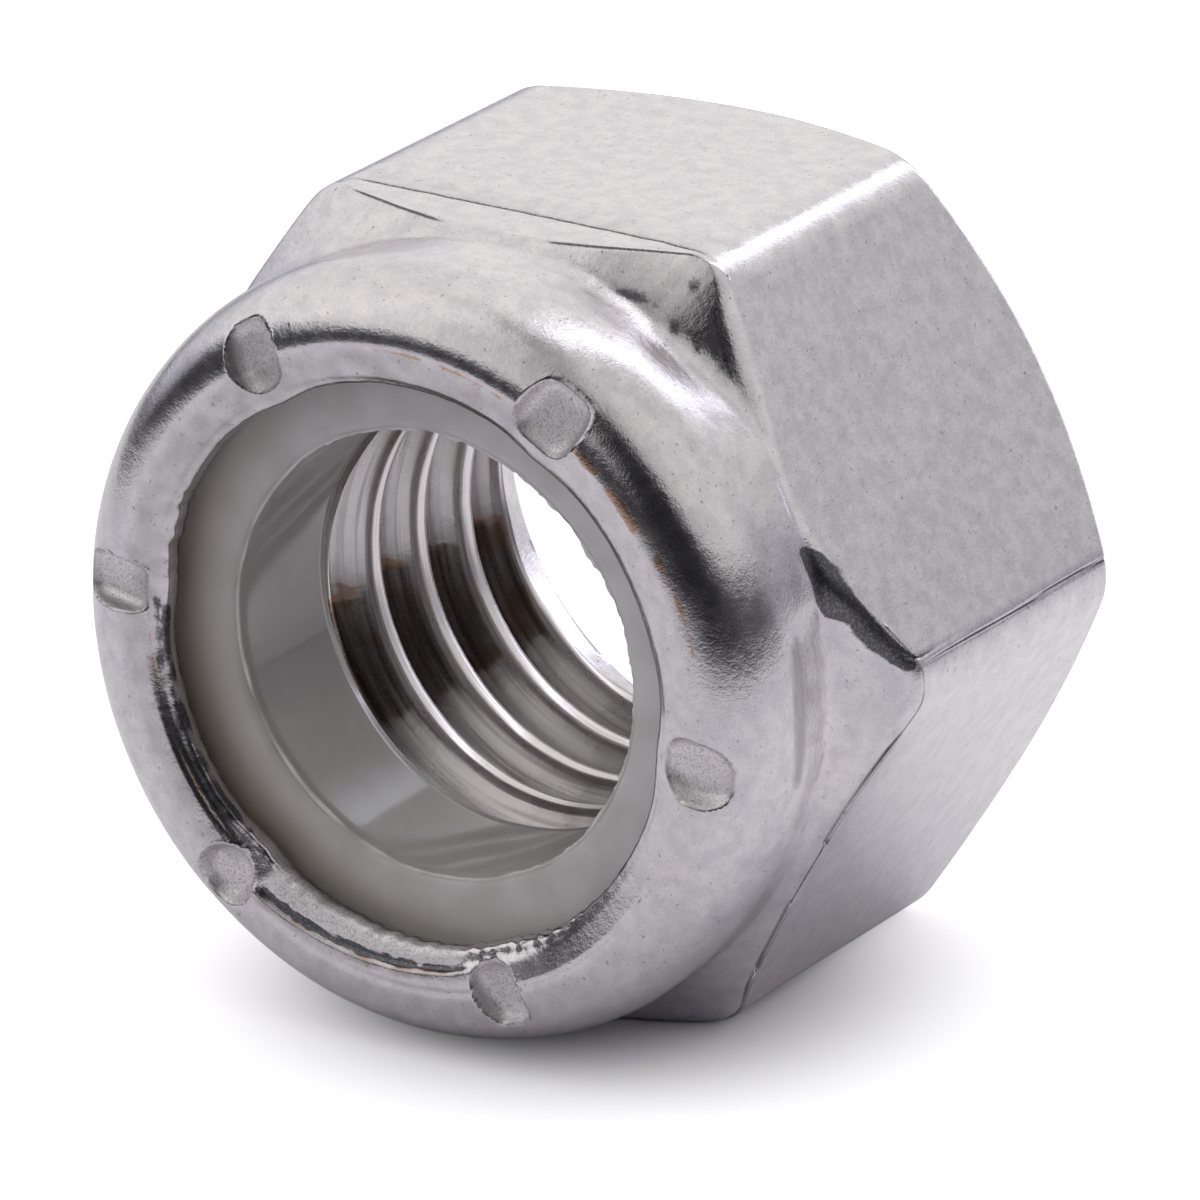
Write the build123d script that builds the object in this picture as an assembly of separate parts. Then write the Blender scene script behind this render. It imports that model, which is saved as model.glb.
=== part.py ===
"""Nylon insert lock nut lying on one of its six flats.

Lengths are in millimetres and angles in degrees. Z is up and the nut's axis runs along Y,
with the bearing face towards +Y and the rolled collar towards -Y. The origin lies on the
floor, under the middle of the nut.

An outline is drawn in pairs (radius, height): the distance from the nut's axis, and the
height above the bearing face towards the collar.
"""
import os
from math import cos, radians, sin, tan

from build123d import *

# hexagon
ACROSS_FLATS = 19.05
CORNER_EDGE_RADIUS = 1.44

# hole through the metal
THREAD_MINOR_RADIUS = 5.4
COUNTERSINK_RADIUS = 6.8
COUNTERSINK_ANGLE = 45
THREAD_LEAD = 0.6

# bearing end of the hexagon
BEARING_FACE_RADIUS = 9.05
BEARING_CHAMFER_ANGLE = 39

# shoulder, where the corners slope down to the collar
SHOULDER_RADIUS = 9.63
SHOULDER_HEIGHT = 10.79
SHOULDER_ANGLE = 47.8
ROOT_FILLET_RADIUS = 1.6

# outside of the collar; a drop is measured down from the collar's top
COLLAR_HEIGHT = 4.31
WAIST_RADIUS = 9.3
COLLAR_RADIUS = 9.45
COLLAR_WIDEST_DROP = 2.05
DOME_ARC_RADIUS = 2.2
DOME_TOP_RADIUS = 7.95

# rolled lip that holds the ring
CREST_WIDTH = 0.2
CREST_DROP = 0.05
LIP_RADIUS = 6.84
LIP_FACE_DROP = 0.42
LIP_NOSE_CHAMFER = 0.2
LIP_UNDERSIDE_DROP = 1.0
LIP_UNDERSIDE_WIDTH = 0.66

# seat for the ring inside the collar
SEAT_RADIUS = 8.2
SEAT_DEPTH = 5.0
SEAT_WALL_DROP = 1.75

# stake marks pressed across the rolled lip, by their angle about the axis
STAKE_ANGLES = (118, 58.5, -6, -70.5, -130, 175.5)
STAKE_RADIUS = 0.72
STAKE_INNER_RADIUS = 7.3
STAKE_INNER_DROP = 0.27
STAKE_OUTER_RADIUS = 8.87
STAKE_OUTER_DROP = 0.65
STAKE_OVERRUN = 0.6

# metal pushed inwards under each stake mark
TONGUE_RADIUS = 0.3
TONGUE_DROP = 0.68
TONGUE_REACH = 0.22

# nylon ring
NYLON_BORE_RADIUS = THREAD_MINOR_RADIUS
NYLON_FACE_DROP = 1.35
NYLON_EDGE_CHAMFER = 0.2

OVERALL_HEIGHT = SHOULDER_HEIGHT + COLLAR_HEIGHT
LIP_CREASE_RADIUS = DOME_TOP_RADIUS - CREST_WIDTH
LIP_UNDERSIDE_RADIUS = LIP_RADIUS + LIP_UNDERSIDE_WIDTH
AXIS_HEIGHT = ACROSS_FLATS / 2
SHARP_CORNER_RADIUS = AXIS_HEIGHT / cos(radians(30))
BEARING_FACE_CENTRE = (0, OVERALL_HEIGHT / 2, AXIS_HEIGHT)
NUT_AXIS = Axis(BEARING_FACE_CENTRE, (0, 1, 0))
OUTLINE_PLANE = Plane(origin=BEARING_FACE_CENTRE, x_dir=(1, 0, 0), z_dir=(0, 0, -1))
HEXAGON_PLANE = Plane(origin=BEARING_FACE_CENTRE, x_dir=(1, 0, 0), z_dir=(0, -1, 0))


def below_top(radius, drop):
    """Return the outline's point at a radius and a drop below the collar's top."""
    return (radius, OVERALL_HEIGHT - drop)


def around_axis(radius, drop, angle):
    """Return the place at a radius and a drop below the top, turned from +X towards +Z."""
    turn = radians(angle)
    return Vector(
        radius * cos(turn),
        drop - OVERALL_HEIGHT / 2,
        AXIS_HEIGHT + radius * sin(turn),
    )


def turned_solid(outline):
    """Turn a closed outline once about the nut's axis."""
    face = OUTLINE_PLANE * make_face(outline)
    return revolve(face, NUT_AXIS, 360)


def round_bar(start, end, radius):
    """Plain round bar between two places."""
    bar_plane = Plane(origin=start, z_dir=end - start)
    return extrude(bar_plane * Circle(radius), (end - start).length)


def hexagon_bar():
    """Bar with six flats and rounded corner edges, as long as the whole nut."""
    hexagon = RegularPolygon(ACROSS_FLATS / 2, 6, major_radius=False)
    hexagon = fillet(hexagon.vertices(), CORNER_EDGE_RADIUS)
    return extrude(HEXAGON_PLANE * hexagon, OVERALL_HEIGHT)


def outside_outline():
    """Outline from the bearing face's outer edge, over the collar, to the lip's crease."""
    bearing_slope = tan(radians(BEARING_CHAMFER_ANGLE))
    shoulder_slope = tan(radians(SHOULDER_ANGLE))
    chamfer_end = (
        SHARP_CORNER_RADIUS,
        (SHARP_CORNER_RADIUS - BEARING_FACE_RADIUS) * bearing_slope,
    )
    shoulder_start = (
        SHARP_CORNER_RADIUS,
        SHOULDER_HEIGHT - (SHARP_CORNER_RADIUS - SHOULDER_RADIUS) * shoulder_slope,
    )
    root_height = SHOULDER_HEIGHT + (SHOULDER_RADIUS - WAIST_RADIUS) * shoulder_slope
    tangent_length = ROOT_FILLET_RADIUS * tan(radians(90 - SHOULDER_ANGLE) / 2)
    shoulder_direction = (-cos(radians(SHOULDER_ANGLE)), sin(radians(SHOULDER_ANGLE)))
    fillet_start = (
        WAIST_RADIUS - tangent_length * shoulder_direction[0],
        root_height - tangent_length * shoulder_direction[1],
    )
    fillet_end = (WAIST_RADIUS, root_height + tangent_length)
    widest = below_top(COLLAR_RADIUS, COLLAR_WIDEST_DROP)
    dome_top = below_top(DOME_TOP_RADIUS, 0)
    crease = below_top(LIP_CREASE_RADIUS, CREST_DROP)
    return [
        Polyline((BEARING_FACE_RADIUS, 0), chamfer_end, shoulder_start, fillet_start),
        TangentArc(fillet_start, fillet_end, tangent=shoulder_direction),
        Line(fillet_end, widest),
        RadiusArc(dome_top, widest, DOME_ARC_RADIUS),
        Line(dome_top, crease),
    ]


def inside_outline():
    """Outline from the crease, round the lip and the seat, through the hole to the face."""
    countersink_depth = (COUNTERSINK_RADIUS - THREAD_MINOR_RADIUS) / tan(
        radians(COUNTERSINK_ANGLE)
    )
    seat_height = OVERALL_HEIGHT - SEAT_DEPTH
    return Polyline(
        below_top(LIP_CREASE_RADIUS, CREST_DROP),
        below_top(LIP_RADIUS + LIP_NOSE_CHAMFER, LIP_FACE_DROP),
        below_top(LIP_RADIUS, LIP_FACE_DROP + LIP_NOSE_CHAMFER),
        below_top(LIP_RADIUS, LIP_UNDERSIDE_DROP),
        below_top(LIP_UNDERSIDE_RADIUS, LIP_UNDERSIDE_DROP),
        below_top(SEAT_RADIUS, SEAT_WALL_DROP),
        (SEAT_RADIUS, seat_height),
        (THREAD_MINOR_RADIUS + THREAD_LEAD, seat_height),
        (THREAD_MINOR_RADIUS, seat_height - THREAD_LEAD),
        (THREAD_MINOR_RADIUS, countersink_depth),
        (COUNTERSINK_RADIUS, 0),
        (BEARING_FACE_RADIUS, 0),
    )


def stake_punch(angle):
    """Round bar whose underside presses one stake mark across the lip."""
    inner = around_axis(STAKE_INNER_RADIUS, STAKE_INNER_DROP - STAKE_RADIUS, angle)
    outer = around_axis(STAKE_OUTER_RADIUS, STAKE_OUTER_DROP - STAKE_RADIUS, angle)
    overrun = (outer - inner).normalized() * STAKE_OVERRUN
    return round_bar(inner - overrun, outer + overrun, STAKE_RADIUS)


def lip_tongue(angle):
    """Small tongue of metal that a stake mark pushes in from the lip's edge."""
    nose = around_axis(LIP_RADIUS - TONGUE_REACH, TONGUE_DROP, angle)
    root = around_axis(LIP_CREASE_RADIUS, TONGUE_DROP, angle)
    return round_bar(nose, root, TONGUE_RADIUS)


def nut_body():
    """Steel nut in one piece: hexagon, shoulder, collar and rolled lip."""
    body = turned_solid(outside_outline() + [inside_outline()]) & hexagon_bar()
    for angle in STAKE_ANGLES:
        body = body + lip_tongue(angle)
    for angle in STAKE_ANGLES:
        body = body - stake_punch(angle)
    return body


def nylon_insert():
    """Nylon ring that fills its seat and shows inside the lip."""
    outline = Polyline(
        (NYLON_BORE_RADIUS, OVERALL_HEIGHT - SEAT_DEPTH),
        below_top(SEAT_RADIUS, SEAT_DEPTH),
        below_top(SEAT_RADIUS, SEAT_WALL_DROP),
        below_top(LIP_UNDERSIDE_RADIUS, LIP_UNDERSIDE_DROP),
        below_top(LIP_RADIUS, LIP_UNDERSIDE_DROP),
        below_top(NYLON_BORE_RADIUS + NYLON_EDGE_CHAMFER, NYLON_FACE_DROP),
        below_top(NYLON_BORE_RADIUS, NYLON_FACE_DROP + NYLON_EDGE_CHAMFER),
        close=True,
    )
    return turned_solid(outline)


os.makedirs("parts", exist_ok=True)
export_step(nut_body(), "parts/nut_body.step")
export_step(nylon_insert(), "parts/nylon_insert.step")
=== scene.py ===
"""Studio picture of a nylon insert lock nut that lies on one of its flats.

Lengths are in millimetres and angles in degrees until a mesh is written, which is in metres.
A place on the nut is given as (radius, height, angle): the distance from the nut's axis, the
height above the bearing face towards the collar, and the turn about the axis from +X to +Z.
"""

import bpy
import numpy as np
from mathutils import Matrix, Vector, noise


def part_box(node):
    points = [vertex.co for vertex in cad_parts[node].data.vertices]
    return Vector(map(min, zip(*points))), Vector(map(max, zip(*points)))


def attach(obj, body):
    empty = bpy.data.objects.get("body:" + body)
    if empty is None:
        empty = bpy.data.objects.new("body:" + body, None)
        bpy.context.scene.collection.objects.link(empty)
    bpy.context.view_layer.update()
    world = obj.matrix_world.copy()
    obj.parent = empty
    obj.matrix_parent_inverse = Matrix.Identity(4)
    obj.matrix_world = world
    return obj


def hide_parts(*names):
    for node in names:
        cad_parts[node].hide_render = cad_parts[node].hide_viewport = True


MM = 0.001

# hexagon and bearing end
ACROSS_FLATS = 19.05
CORNER_EDGE_RADIUS = 1.44
BEARING_FACE_RADIUS = 9.05
BEARING_CHAMFER_ANGLE = 39
FACE_EDGE_ROUNDING = 0.14
EDGE_ROUNDING = 0.10

# shoulder and root of the collar
SHOULDER_RADIUS = 9.63
SHOULDER_HEIGHT = 10.79
SHOULDER_ANGLE = 47.8
ROOT_FILLET_RADIUS = 1.6
WAIST_RADIUS = 9.3
WAIST_BLEND = 0.06

# radius of the collar's waist, where the corners' metal fills it: angle and radius
WAIST = (
    (-40, 9.30), (-14, 9.31), (-8, 9.35), (10, 9.36), (15, 9.46), (22, 9.50), (38, 9.50),
    (44, 9.43), (48, 9.36), (52, 9.34), (66, 9.34), (78, 9.38), (92, 9.41), (104, 9.35),
    (120, 9.30),
)

# outside of the collar, up to the crest and down to the lip's edge
OVERALL_HEIGHT = 15.1
COLLAR_RADIUS = 9.45
COLLAR_WIDEST_HEIGHT = 13.05
CREST_RADIUS = 7.98
LIP_CREASE_RADIUS = 7.72
LIP_RADIUS = 6.84
LIP_BOTTOM = 14.05
LIP_FACE_BOTTOM = 14.6

# curves of the side, dome, crest, lip face, lip nose, lip wall and lip underside, each from
# where the last one ends: count of rows, and places that draw the curve
COLLAR_CURVES = (
    (3, (9.45, 13.25), (9.40, 13.5)),
    (18, (9.22, 14.4), (8.74, 15.0), (CREST_RADIUS, 15.08)),
    (6, (7.83, 15.095), (7.68, 15.035)),
    (11, (7.36, 14.90), (7.0, 14.76)),
    (6, (6.82, 14.72), (LIP_RADIUS, 14.52)),
    (2, (LIP_RADIUS, 14.28)),
    (3, (6.86, 14.12), (7.5, 14.1)),
)

# rows of the side: steps in height past the bearing chamfer and past the fold, shares of the
# roll below and above the shoulder's edge, and heights up the collar
CHAMFER_ROWS = (-0.07, 0.0, 0.07, 0.14)
FOLD_ROWS = (-0.09, -0.045, -0.015, 0.015, 0.05, 0.1)
ROLL_ROWS_BELOW = (0.8, 0.6, 0.4, 0.2)
ROLL_ROWS_ABOVE = (0.0, 0.15, 0.3, 0.45, 0.6, 0.8, 1.0)
RISE_TOP = 11.9
ROOT_TOP = 12.2
COLLAR_ROWS = (12.45, 12.7, 12.9, COLLAR_WIDEST_HEIGHT)

# where the lip is rolled over further and its face is fuller: angle, share, and inner radius
LIP_FILL = (
    (-190, 0.4, 7.10), (-184, 1.0, 7.13), (-131, 1.0, 7.13), (-126, 1.0, 7.50), (-76, 1.0, 7.18),
    (-70, 0.7, 7.12), (-60, 0.2, 7.10), (-40, 0.2, 7.05), (60, 0.2, 7.0), (70, 0.4, 7.0),
)
LIP_FILL_HEIGHT = 15.075
LIP_FILL_CURVE = 0.16
LIP_FILL_EDGE = 0.08

# seat of the ring and the hole; the countersink narrows slowly by its first slope at the mouth
# and quickly by its second further in, until its depth
SEAT_RADIUS = 8.2
SEAT_WALL_TOP = 13.35
SEAT_WALL_MIDDLE = 11.7
SEAT_FLOOR = 10.1
SEAT_FLOOR_RADIUS = 7.3
COUNTERSINK_RADIUS = 6.8
COUNTERSINK_SLOPES = (0.25, 1.6)
COUNTERSINK_DEPTH = 2.4
THREAD_MINOR_RADIUS = 5.4
THREAD_MAJOR_RADIUS = 6.4
THREAD_LEAD = 0.6
THREAD_PITCH = 25.4 / 13
THREAD_PHASE = 7.02
THREAD_CREST_SHARE = 0.25
THREAD_ROOT_SHARE = 0.12
THREAD_WAVE = 0.012

# nylon ring
NYLON_BORE_RADIUS = 5.4
NYLON_FACE_HEIGHT = 13.75
NYLON_FREE_HEIGHT = 13.95
NYLON_CLEARANCE = 0.03
NYLON_WAVE = 0.05
FLASH_DROP = 0.13
FLASH_WIDTH = 0.03
FLASH_SIZE = 0.05
FLASH_WANDER = 0.04
FLASH_TEAR = 0.9

# stake marks: angle, half width, inner and outer radius, drop of the floor at both ends, lean,
# squareness of the outline, and painted shadow and dirt on the wall towards larger (+) or
# smaller (-) angles
STAKES = (
    (119.3, 0.76, 7.02, 8.98, 0.36, 0.62, -0.05, 2.6, 0.95),
    (58.8, 0.84, 7.10, 9.02, 0.36, 0.62, -0.10, 4.0, -0.45),
    (-6.5, 0.80, 6.98, 9.02, 0.36, 0.64, -0.12, 2.4, 0.0),
    (-71.5, 0.66, 6.98, 8.72, 0.36, 0.60, 0.20, 3.0, -0.55),
    (-130.0, 0.78, 7.02, 8.60, 0.38, 0.54, 0.0, 2.0, 0.0),
    (174.7, 0.66, 6.98, 8.95, 0.36, 0.64, 0.0, 4.0, 0.8),
)
STAKE_WALL_RISE = 0.5
STAKE_WALL_POWER = 6
STAKE_EDGE_BLEND = 0.02
STAKE_RIM = 0.022
STAKE_RIM_WIDTH = 0.06
STAKE_PUSH = 0.12
STAKE_PUSH_WIDTH = 0.8

# folded line across the flats: angle and height, and how strongly it shows there
FOLD_LINE = (
    (-59, 9.95, 0.4), (-52, 10.14, 1.0), (-44, 10.40, 1.0), (-36, 10.56, 1.0), (-26, 10.58, 1.0),
    (-18, 10.58, 1.0), (-13, 10.5, 1.0), (-8.6, 10.3, 0.9), (-6, 10.2, 0.0), (60, 9.7, 0.0),
    (62, 9.68, 0.7), (64.6, 9.66, 1.0), (68, 9.53, 1.0), (115, 9.28, 1.0), (118, 9.3, 0.3),
    (122, 9.4, 0.0), (170, 9.6, 0.0), (185, 9.9, 0.0), (200, 10.1, 0.8), (225, 9.9, 0.8),
    (239, 9.8, 0.2), (250, 9.9, 0.0), (298, 9.9, 0.0),
)
FOLD_DEPTH = 0.05
FOLD_WIDTH = 0.045
FOLD_STEP = 0.03
FOLD_WANDER = 0.03
FOLD_BELOW_SHOULDER = 0.13
CREASE_WIDTH = 0.06

# how far the corner's shoulder rises above the turned cone: angle and rise
SHOULDER_RISE = (
    (0, 0.25), (4.6, 0.26), (9.7, 0.45), (16, 0.7), (24, 0.5), (42, 0.1), (47, 0.15),
    (51, 0.21), (53.8, 0.31), (56.3, 0.42), (61, 0.43), (64, 0.28), (67, 0.12), (74, 0.04),
    (100, 0.0), (112, 0.05), (116, 0.2), (122, 0.1), (240, 0.0), (300, 0.3), (308, 0.4),
    (318, 0.1), (330, 0.0), (338, 0.1), (342, 0.22), (352, 0.3), (357, 0.28),
)

# turns over which the rise is averaged, so that it has no hard edges
RISE_BLEND = (-2.4, -1.2, 0, 1.2, 2.4)

# how the shoulder's edge is rolled over: angle, height of the roll, slope where it starts, and
# darkness of the line there
SHOULDER_ROLL = (
    (0, 0.3, 0.25, 0.0), (4, 0.6, 0.3, 0.0), (10, 0.9, 0.3, 0.0), (18, 0.8, 0.2, 0.0),
    (24, 0.4, 0.0, 0.0), (34, 0.3, 0.0, 0.0), (42, 0.4, 0.0, 0.0), (47, 0.6, 0.1, 0.0),
    (56, 0.5, 0.2, 0.0), (60, 0.15, 0.2, 0.0), (64, 0.12, 0.2, 0.9), (66, 0.12, 0.2, 0.9),
    (73, 0.2, 0.15, 0.9), (80, 0.3, 0.0, 0.8), (83, 0.3, 0.0, 0.0),
    (97, 0.3, 0.0, 0.0), (100, 0.3, 0.1, 0.8), (104, 0.15, 0.2, 0.9), (113, 0.12, 0.2, 0.9),
    (117, 0.12, 0.2, 0.0), (124, 0.3, 0.15, 0.0), (150, 0.4, 0.0, 0.0), (180, 0.3, 0.2, 0.0),
    (210, 0.4, 0.0, 0.0), (240, 0.3, 0.2, 0.0), (270, 0.4, 0.0, 0.0), (300, 0.4, 0.2, 0.0),
    (315, 0.5, 0.0, 0.0), (330, 0.4, 0.0, 0.0), (345, 0.5, 0.0, 0.0), (354, 0.6, 0.1, 0.0),
)

# painted dark reflections and painted shade in bands across the shoulder and the collar, with the
# edge over which they fade: mark, strength, and rows of angle, lower and upper height
BAND_EDGE = 0.16
BAND_INNER_RADIUS = 9
PAINTED_DARK_BANDS = (
    ("grime", 1.0, (
        (2.6, 9.75, 10.1), (4.0, 9.75, 10.33), (6.5, 10.13, 10.72), (10.4, 10.52, 11.05),
        (12, 10.63, 11.42), (14.5, 10.80, 11.65), (18, 10.95, 11.68), (20.6, 11.16, 11.76),
        (22.3, 11.46, 11.80),
    )),
    ("grime", 1.0, (
        (46, 10.92, 10.95), (48, 10.88, 10.95), (51.6, 10.72, 10.86), (55.1, 10.50, 10.67),
        (57.6, 10.36, 10.52), (60.6, 10.24, 10.38), (62.6, 10.22, 10.30),
    )),
    ("grime", 0.8, (
        (49, 11.0, 11.06), (55, 11.03, 11.15), (60.8, 10.99, 11.16), (64, 10.96, 11.18),
        (67.5, 10.98, 11.18), (70.5, 11.04, 11.14),
    )),
    ("dull_and_shade", 0.45, ((57, 11.0, 11.15), (64, 10.9, 11.25), (71, 10.98, 11.22))),
    # painted dark reflection on the shoulder beside the corner at 60 degrees
    ("dull_and_shade", 0.22, (
        (57, 10.55, 10.98), (61, 10.35, 10.98), (67, 10.25, 11.0), (74, 10.6, 11.0),
    )),
    # painted shade that dims the highlight in the root fillet
    ("dull_and_shade", 0.24, (
        (43, 11.7, 12.3), (52, 11.55, 12.35), (64, 11.5, 12.35), (74, 11.55, 12.25),
    )),
    # painted shade of a shallow dip on the collar's side
    ("dull_and_shade", 0.75, (
        (-11, 12.74, 12.80), (-8.8, 12.53, 13.01), (2.5, 12.46, 13.15), (10, 12.46, 13.0),
        (11.5, 12.6, 12.8),
    )),
)

# stains, dirt and painted shade along lines: mark, first and last angle, first and last radius,
# height, half width, strength
STAINS_AND_PAINTED_SHADE = (
    ("tan", 34, 57, 8.02, 8.02, 15.07, 0.10, 1.0), ("tan", 12, 38, 8.22, 8.16, 15.02, 0.09, 1.0),
    ("tan", 19, 34, 8.86, 8.74, 14.60, 0.06, 0.9), ("tan", 64, 96, 7.80, 7.80, 15.08, 0.05, 0.7),
    ("tan", -184, -128, 7.13, 7.13, 14.90, 0.05, 0.8),
    ("tan", -126, -78, 7.56, 7.24, 15.0, 0.05, 0.8),
    ("grime", -125, -76, 7.47, 7.14, 14.92, 0.10, 1.5),
    # painted shade that dims the glints beside the seam
    ("dull_and_shade", -125, -76, 7.60, 7.27, 15.02, 0.16, 0.6),
    # painted shade in the crevice beside the nylon
    ("grime", -186, -129, 6.98, 6.98, 14.77, 0.10, 0.8),
    ("grime", -186, -129, 6.87, 6.87, 14.60, 0.14, 0.8),
    ("grime", 62, 176, 7.35, 7.35, 14.92, 0.30, 0.24),
    ("dull_and_shade", 62, 232, 7.30, 7.30, 14.92, 0.45, 0.42),
    # painted shadow of the gap between the lip and the nylon, on the lip's nose and all round its
    # wall
    ("grime", -70, 112, 6.86, 6.86, 14.66, 0.06, 0.8),
    ("grime", -360, 0, 6.84, 6.84, 14.20, 0.12, 0.9),
)
STAIN_AND_SHADE_WANDER = 0.06

# brown part of the thread: first and last angle, width of the lighter brown at its start, and
# strength of the dirt and of the brown; and the heights over which the bore's own look starts
THREAD_STAIN = (190.5, 221.0, 1.8)
THREAD_STAIN_STRENGTH = (0.60, 1.8)
BORE_LOOK_START = (1.6, 2.2)

# ragged line of folded metal beside the corner edge at angle 0: height and angle
BURR_LINE = ((1.6, 2.2), (3.4, 2.7), (6.3, 2.4), (8.4, 2.7), (9.6, 3.6), (10.1, 4.3))
BURR_DEPTH = 0.03
BURR_WIDTH = 0.03

# torn seam in the lip: middle angle, half its reach, depth, height of the flake inside it,
# and the angle and radius of both its ends
SEAM = (-101, 24, 0.07, 0.05)
SEAM_ENDS = ((-124, 7.49), (-76, 7.16))
SEAM_WIDTH = 0.06

# small forms all over the outside
RELIEF_WAVE = 0.012
RELIEF_PIT = 0.004

# unevenness of the lip's edge: wide and fine steps all round, and the size of the torn steps
# at its rough parts, which are given by angle and half width
WIDE_STEP = 0.02
FINE_STEP = 0.012
ROUGH_STEP = 0.085
ROUGH_LIP = ((-105, 22), (-60, 14), (160, 10))

# noise fields: size of their features, and seed
NOISES = {
    "wave": (3.2, 1), "pits": (0.9, 2), "fold": (0.5, 3), "burr": (0.35, 4),
    "burr fine": (0.12, 5), "lip": (1.1, 7), "lip fine": (0.22, 6), "thread": (0.8, 8),
    "nylon": (2.4, 11), "flash tear": (0.8, 12), "flash wander": (1.1, 13),
    "flash fine": (0.14, 14), "stain and shade patches": (0.45, 21), "stain and shade edge": (0.25, 22),
    "brown edge": (0.5, 23), "brown fine": (0.2, 24), "brown patches": (0.7, 25),
}

# where the columns are closer together: angle, how much, and half width
DENSE_COLUMNS = [(stake[0], 1.6, 6.5) for stake in STAKES] + [(2.9, 4.0, 1.0)]

# columns and rows of the meshes
OUTER_COLUMNS = 720
BORE_STEP = 2
NYLON_COLUMNS = 360
THREAD_ROWS_PER_TURN = 13
THREAD_BOTTOM = 0.05
MARKS = ("grime", "tan", "dull_and_shade", "pale", "bore")
BOX_MARGIN = 0.000001

# steel: colours
STEEL_LIGHT = (0.69, 0.655, 0.672, 1)
STEEL_DARK = (0.575, 0.545, 0.568, 1)
STEEL_PIT = (0.16, 0.145, 0.15, 1)
STEEL_PALE = (0.90, 0.86, 0.88, 1)
STEEL_BORE = (0.67, 0.635, 0.615, 1)
THREAD_LINE = (0.16, 0.14, 0.13, 1)
# grey of worn steel and of the dull mark, which is also painted shade
STEEL_DULL_AND_SHADE = (0.24, 0.23, 0.235, 1)
TAN = (0.48, 0.30, 0.20, 1)
# dark grey of the grime mark: dirt, and also painted shade and painted dark reflections
GRIME_AND_SHADE = (0.100, 0.098, 0.108, 1)
THREAD_GRIME = (0.105, 0.078, 0.058, 1)

# steel: size and height of its grain, its mottling, the small dents all over it and the
# thread's lines; in the bore the grain loses a share of its height
GRAIN_SIZE = 0.055
GRAIN_HEIGHT = 0.0045
GRAIN_LOST_IN_BORE = 0.7
MOTTLE_SIZE = 0.5
MOTTLE_HEIGHT = 0.006
HAMMER_SIZE = 0.17
HAMMER_HEIGHT = 0.004
LINE_WIDTH = 0.09
LINE_HEIGHT = 0.008

# steel: size of its pits and scratches, and size and strength of the ragged edge of its dirt and
# painted shade
PIT_SIZE = 0.13
SCRATCH_SIZE = (0.9, 0.035, 0.035)
SCRATCH_AXIS = (0.4, -0.7, 0.6)
SCRATCH_TURN = 0.6
RAGGED_SIZE = 0.075
RAGGED_SHARE = 0.55

# steel: noise at which a layer starts and is full, and its strength at both where not 0 and 1
MOTTLE_RANGE = (0.32, 0.68)
SCRATCH_RANGE = (0.66, 0.74, 0.0, 1.0)
PIT_RANGE = (0.64, 0.72, 0.0, 0.6)
SPECKLE_RANGE = (0.60, 0.72, 0.0, 0.25)
WORN_RANGE = (0.42, 0.66, 0.0, 0.38)
LINE_RANGE = (0.48, 0.68, 0.0, 0.65)
DIRT_AND_SHADE_RANGE = (0.45, 0.75, 1.0, 0.7)
RAGGED_RANGE = (0.3, 0.7)
PALE_SHARE = 0.8
SCRATCH_SHARE = 0.5
TAN_SHARE = 0.85

# steel: lowest and highest roughness, and what dirt and painted shade, stake marks and the bore
# add
STEEL_ROUGHNESS = (0.17, 0.21)
GRIME_AND_SHADE_ROUGHNESS = 0.1
STAKE_ROUGHNESS = 0.34
BORE_ROUGHNESS = 0.10

# nylon
NYLON_LIGHT = (0.71, 0.685, 0.70, 1)
NYLON_DARK = (0.61, 0.585, 0.59, 1)
# painted warm shade towards the lip on one side of the ring
NYLON_SHADE = (0.36, 0.315, 0.255, 1)
# painted shade in the bore
NYLON_BORE_SHADE = (0.36, 0.345, 0.33, 1)
NYLON_EDGE = (0.92, 0.90, 0.91, 1)
NYLON_CLOUD_SIZE = 1.2
NYLON_GRAIN_SIZE = 0.15
NYLON_GRAIN = 0.002
NYLON_BORE_SHADE_SHARE = 0.4
NYLON_ROUGHNESS = (0.34, 0.12)
NYLON_SHADE_ANGLE = 200
NYLON_SHADE_WIDTH = 75

# floor: a white sheet on a darker table; its white glow fades out under the object as a painted
# shadow over the real one, is weaker in mirrors, and in mirrors weaker still beyond the reach
# round its centre, a painted pool of light
FLOOR_SIZE = 3000
FLOOR_COLOUR = (0.80, 0.79, 0.84, 1)
TABLE_COLOUR = (0.06, 0.06, 0.065, 1)
FLOOR_GLOW = (1.0, 0.995, 1.0, 1)
FLOOR_LIFT = 0.62
FLOOR_MIRRORED = 0.54
GLOW_CENTRE = (5, 35)
GLOW_REACH = (30, 50)
GLOW_EDGE = (0.5, 1.3)
GLOW_FAR = 0.4
SHEET_CENTRE = (0, 205)
SHEET_REACH = (190, 278)
SHEET_EDGE = (0.9, 1.1)
SHADOW_CENTRE = (0.75, -1.1)
SHADOW_REACH = (6.5, 6.0)
SHADOW_EDGE = (0.52, 1.62)
MIRRORED_SHADOW_EDGE = (0.7, 2.6)

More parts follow.
